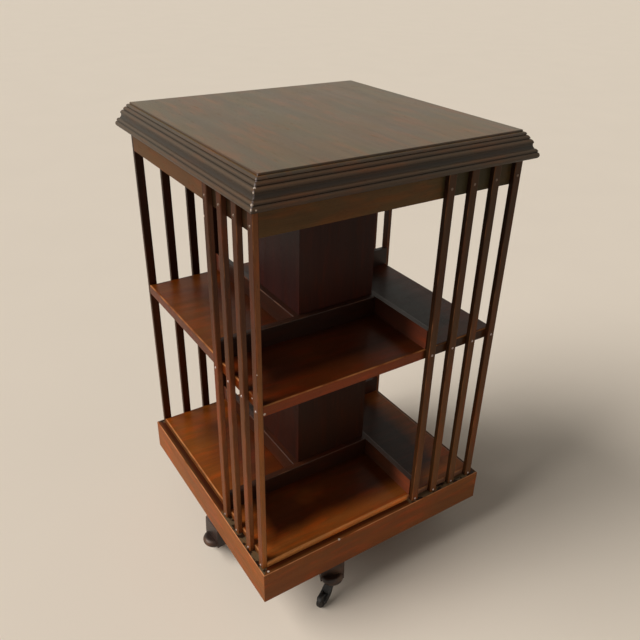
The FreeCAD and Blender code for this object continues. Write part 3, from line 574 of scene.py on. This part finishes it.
def grain_of(node):
    """The way a node's grain runs: upright, or an angle in plan."""
    if node.startswith("slats_") or "_box_panel_" in node or node in ("centre_post", "post_wedge"):
        return UPRIGHT
    if node == "bearer_lower":
        return LOWER_BEARER_GRAIN
    if node == "bearer_upper":
        return UPPER_BEARER_GRAIN
    if node == "top_board" or node.endswith(("_left", "_right")):
        return ALONG_Y
    return ALONG_X


def finish_for(node, slot):
    """The material of a node, made once for each slot and way of the grain."""
    if slot in METALS:
        key = slot
        build = METALS[slot]
    else:
        grain = grain_of(node)
        key = "%s_%s" % (slot, grain if grain == UPRIGHT else "%03d" % grain)
        build = lambda: wood(key, grain, **FINISHES[slot])
    if key not in made:
        made[key] = build()
    return made[key]


def dress_nodes():
    """Gives every CAD node the finish of its slot."""
    for part in frame["record"]["subparts"]:
        piece = NODES[part["node"]]
        piece.data.materials.clear()
        piece.data.materials.append(finish_for(part["node"], part["material_slot"]))


# ---- studio ------------------------------------------------------------------------------------

def make_camera():
    forward = Vector((-math.sin(CAMERA_AZIMUTH) * math.cos(CAMERA_ELEVATION),
                      math.cos(CAMERA_AZIMUTH) * math.cos(CAMERA_ELEVATION), -math.sin(CAMERA_ELEVATION)))
    level = forward.cross(Vector((0, 0, 1))).normalized()
    down = forward.cross(level)
    right = math.cos(CAMERA_ROLL) * level + math.sin(CAMERA_ROLL) * down
    up = math.sin(CAMERA_ROLL) * level - math.cos(CAMERA_ROLL) * down
    camera = bpy.data.objects.new("camera", bpy.data.cameras.new("camera"))
    camera.data.lens = CAMERA_LENS
    camera.data.sensor_width = SENSOR_WIDTH
    camera.data.clip_end = CAMERA_REACH
    turn = Matrix((right, up, -forward)).transposed().to_4x4()
    camera.matrix_world = Matrix.Translation(CAMERA_PLACE) @ turn
    bpy.context.scene.collection.objects.link(camera)
    bpy.context.scene.camera = camera


def make_sun(name, towards, strength, angle, colour):
    lamp = bpy.data.lights.new(name, "SUN")
    lamp.energy, lamp.angle, lamp.color = strength, angle, colour
    sun = bpy.data.objects.new(name, lamp)
    sun.rotation_euler = towards.to_track_quat("Z", "Y").to_euler()
    bpy.context.scene.collection.objects.link(sun)


def make_world():
    """Ambient light, with a pale backdrop where the camera, gloss or glass sees past the floor."""
    world = bpy.data.worlds.new("studio")
    world.use_nodes = True
    bpy.context.scene.world = world
    tree = world.node_tree
    ambient = tree.nodes["Background"]
    ambient.inputs["Color"].default_value = (*AMBIENT, 1.0)
    ambient.inputs["Strength"].default_value = AMBIENT_STRENGTH
    seen = tree.nodes.new("ShaderNodeBackground")
    seen.inputs["Color"].default_value = (*BACKDROP, 1.0)
    path = tree.nodes.new("ShaderNodeLightPath")
    share = path.outputs["Is Camera Ray"]
    for ray in ("Is Glossy Ray", "Is Transmission Ray"):
        either = tree.nodes.new("ShaderNodeMath")
        either.operation = "MAXIMUM"
        tree.links.new(share, either.inputs[0])
        tree.links.new(path.outputs[ray], either.inputs[1])
        share = either.outputs[0]
    mix = tree.nodes.new("ShaderNodeMixShader")
    tree.links.new(share, mix.inputs[0])
    tree.links.new(ambient.outputs[0], mix.inputs[1])
    tree.links.new(seen.outputs[0], mix.inputs[2])
    tree.links.new(mix.outputs[0], tree.nodes["World Output"].inputs["Surface"])


def make_floor():
    corners = [(x * FLOOR_HALF, y * FLOOR_HALF, 0.0) for x, y in ((-1, -1), (1, -1), (1, 1), (-1, 1))]
    mesh = bpy.data.meshes.new("floor")
    mesh.from_pydata(corners, [], [(0, 1, 2, 3)])
    floor = bpy.data.objects.new("floor", mesh)
    g = Graph("floor")
    cloud = g.noise(g.place(), scale=3.0, detail=3.0)
    shade = tuple(FLOOR_CLOUDS * part for part in FLOOR_COLOUR)
    mesh.materials.append(g.finish(Base_Color=g.mix(cloud, shade, FLOOR_COLOUR), Roughness=0.7))
    bpy.context.scene.collection.objects.link(floor)


bpy.context.scene.view_settings.view_transform = "Standard"
dress_nodes()
make_camera()
make_sun("key", KEY_FROM, KEY_STRENGTH, KEY_ANGLE, KEY_COLOUR)
make_sun("fill", FILL_FROM, FILL_STRENGTH, FILL_ANGLE, FILL_COLOUR)
make_world()
make_floor()
